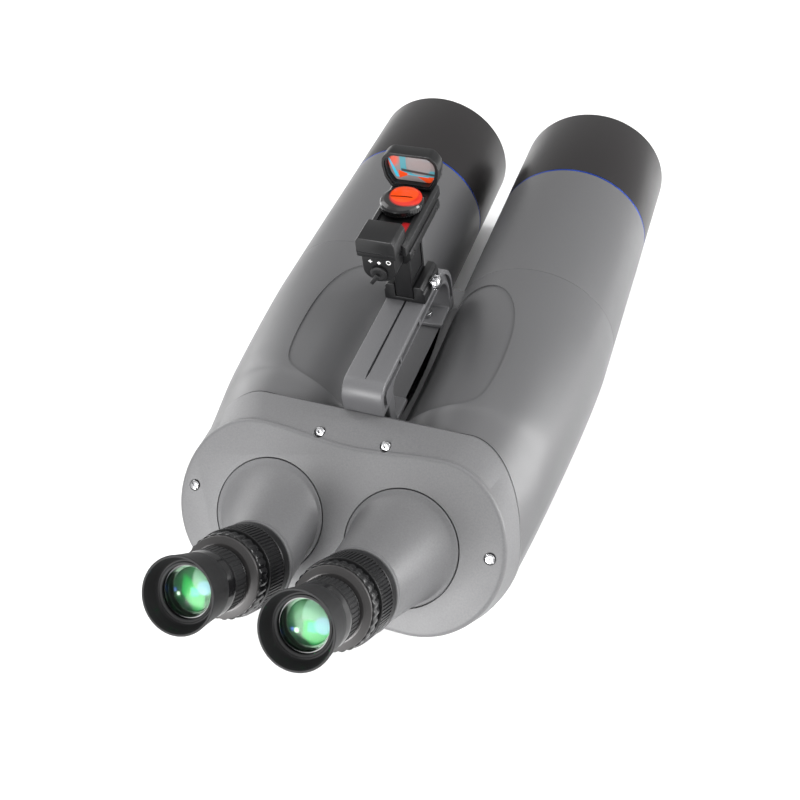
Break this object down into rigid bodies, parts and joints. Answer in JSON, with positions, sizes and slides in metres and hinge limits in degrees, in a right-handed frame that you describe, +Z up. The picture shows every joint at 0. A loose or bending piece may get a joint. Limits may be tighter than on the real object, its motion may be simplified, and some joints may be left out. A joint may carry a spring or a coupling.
{
  "type": "giant binoculars",
  "caption": "Two parallel large-aperture tubes with slanted turning eyepieces, a carry handle, a raised reflex sight and a tripod foot.",
  "frame": {"origin": "centre of the flat base of the mounting foot, mid-way between the tubes", "axes": "+Y along the tubes to the objectives, +X to the observer's right, +Z up from the foot"},
  "size_m": [0.272, 0.5704, 0.255],
  "materials": {
    "body_grey": "fine satin grey paint",
    "face_grey": "sand-textured light grey paint",
    "gunmetal": "dark grey satin anodised, brushed round",
    "blue_ring": "blue anodised",
    "black_metal": "satin black anodised",
    "black_plastic": "smooth matte black",
    "rubber": "matte black rubber",
    "steel": "bright turned steel",
    "brass": "turned brass",
    "coated_green": "multi-coated, green reflection",
    "glass": "clear coated glass"
  },
  "bodies": {
    "chassis": {"main_casting": "body_grey", "carry_handle": "body_grey", "rear_cap": "face_grey", "left_front_tube": "body_grey", "left_trim_ring": "blue_ring", "left_objective_cell": "black_metal", "left_lens_retainer": "black_metal", "left_objective_front_lens": "coated_green", "left_objective_rear_lens": "glass", "left_erecting_prism": "glass", "right_front_tube": "body_grey", "right_trim_ring": "blue_ring", "right_objective_cell": "black_metal", "right_lens_retainer": "black_metal", "right_objective_front_lens": "coated_green", "right_objective_rear_lens": "glass", "right_erecting_prism": "glass", "cap_screw_upper_left": "steel", "cap_screw_upper_right": "steel", "cap_screw_outer_left": "steel", "cap_screw_outer_right": "steel", "handle_bolt_front": "steel", "handle_bolt_rear": "steel", "foot_screw_front": "steel", "foot_screw_rear": "steel", "sight_clamp_screw_front": "steel", "sight_clamp_screw_rear": "steel", "mounting_foot": "black_metal", "sight_clamp": "black_metal", "sight_base": "black_metal", "sight_hood": "black_metal", "finder_shoe": "black_plastic", "finder_post": "black_plastic", "sight_lens": "glass"},
    "left_dew_shield": {"left_dew_shield": "gunmetal"},
    "left_turret": {"left_turret": "face_grey", "left_rhomboid_prism": "glass", "left_turret_retainer": "black_metal"},
    "left_focus_ring": {"left_focus_ring": "black_metal"},
    "left_holder": {"left_eyepiece_holder": "gunmetal", "left_eyepiece_body": "black_metal", "left_field_lens": "glass", "left_eye_lens": "coated_green", "left_eyecup": "rubber"},
    "left_lock_ring": {"left_lock_ring": "black_metal"},
    "right_dew_shield": {"right_dew_shield": "gunmetal"},
    "right_turret": {"right_turret": "face_grey", "right_rhomboid_prism": "glass", "right_turret_retainer": "black_metal"},
    "right_focus_ring": {"right_focus_ring": "black_metal"},
    "right_holder": {"right_eyepiece_holder": "gunmetal", "right_eyepiece_body": "black_metal", "right_field_lens": "glass", "right_eye_lens": "coated_green", "right_eyecup": "rubber"},
    "right_lock_ring": {"right_lock_ring": "black_metal"},
    "brightness_knob": {"brightness_knob": "black_plastic"},
    "reticle_selector": {"reticle_selector": "black_plastic"},
    "finder_thumb_screw": {"finder_thumb_screw": "steel"},
    "elevation_screw": {"elevation_screw": "brass"}
  },
  "joints": [
    {"name": "left_shield_slide", "type": "slide", "parent": "chassis", "child": "left_dew_shield", "axis": [0, 1, 0], "range_m": [0, 0.04]},
    {"name": "right_shield_slide", "type": "slide", "parent": "chassis", "child": "right_dew_shield", "axis": [0, 1, 0], "range_m": [0, 0.04]},
    {"name": "left_turret_hinge", "type": "hinge", "parent": "chassis", "child": "left_turret", "pos_m": [-0.0467, -0.18334, 0.09231], "axis": [0, -0.7071, 0.7071], "range_deg": [-20, 8]},
    {"name": "right_turret_hinge", "type": "hinge", "parent": "chassis", "child": "right_turret", "pos_m": [0.0467, -0.18334, 0.09231], "axis": [0, -0.7071, 0.7071], "range_deg": [-8, 20]},
    {"name": "left_focus_hinge", "type": "hinge", "parent": "left_turret", "child": "left_focus_ring", "pos_m": [-0.0352, -0.23842, 0.11501], "axis": [0, -0.7071, 0.7071], "range_deg": [0, 288]},
    {"name": "left_focus_slide", "type": "slide", "parent": "left_turret", "child": "left_holder", "axis": [0, -0.7071, 0.7071], "range_m": [0, 0.008]},
    {"name": "left_lock_hinge", "type": "hinge", "parent": "left_turret", "child": "left_lock_ring", "pos_m": [-0.0352, -0.25115, 0.12774], "axis": [0, -0.7071, 0.7071], "range_deg": [0, 40]},
    {"name": "right_focus_hinge", "type": "hinge", "parent": "right_turret", "child": "right_focus_ring", "pos_m": [0.0352, -0.23842, 0.11501], "axis": [0, -0.7071, 0.7071], "range_deg": [0, 288]},
    {"name": "right_focus_slide", "type": "slide", "parent": "right_turret", "child": "right_holder", "axis": [0, -0.7071, 0.7071], "range_m": [0, 0.008]},
    {"name": "right_lock_hinge", "type": "hinge", "parent": "right_turret", "child": "right_lock_ring", "pos_m": [0.0352, -0.25115, 0.12774], "axis": [0, -0.7071, 0.7071], "range_deg": [0, 40]},
    {"name": "thumb_screw_turn", "type": "hinge", "parent": "chassis", "child": "finder_thumb_screw", "pos_m": [0.018, -0.012, 0.1648], "axis": [1, 0, 0], "range_deg": [0, 360]},
    {"name": "brightness_turn", "type": "hinge", "parent": "chassis", "child": "brightness_knob", "pos_m": [0, -0.0135, 0.232], "axis": [0, 0, 1], "range_deg": [0, 300]},
    {"name": "reticle_turn", "type": "hinge", "parent": "chassis", "child": "reticle_selector", "pos_m": [0, -0.0615, 0.2105], "axis": [0, -1, 0], "range_deg": [-25, 75]},
    {"name": "elevation_turn", "type": "hinge", "parent": "chassis", "child": "elevation_screw", "pos_m": [0, -0.0393, 0.229], "axis": [0, 0, 1], "range_deg": [-360, 360]}
  ],
  "couplings": [
    {"joint": "left_focus_slide", "follows": "left_focus_hinge", "m_per_rad": 0.0015915},
    {"joint": "right_focus_slide", "follows": "right_focus_hinge", "m_per_rad": 0.0015915}
  ]
}
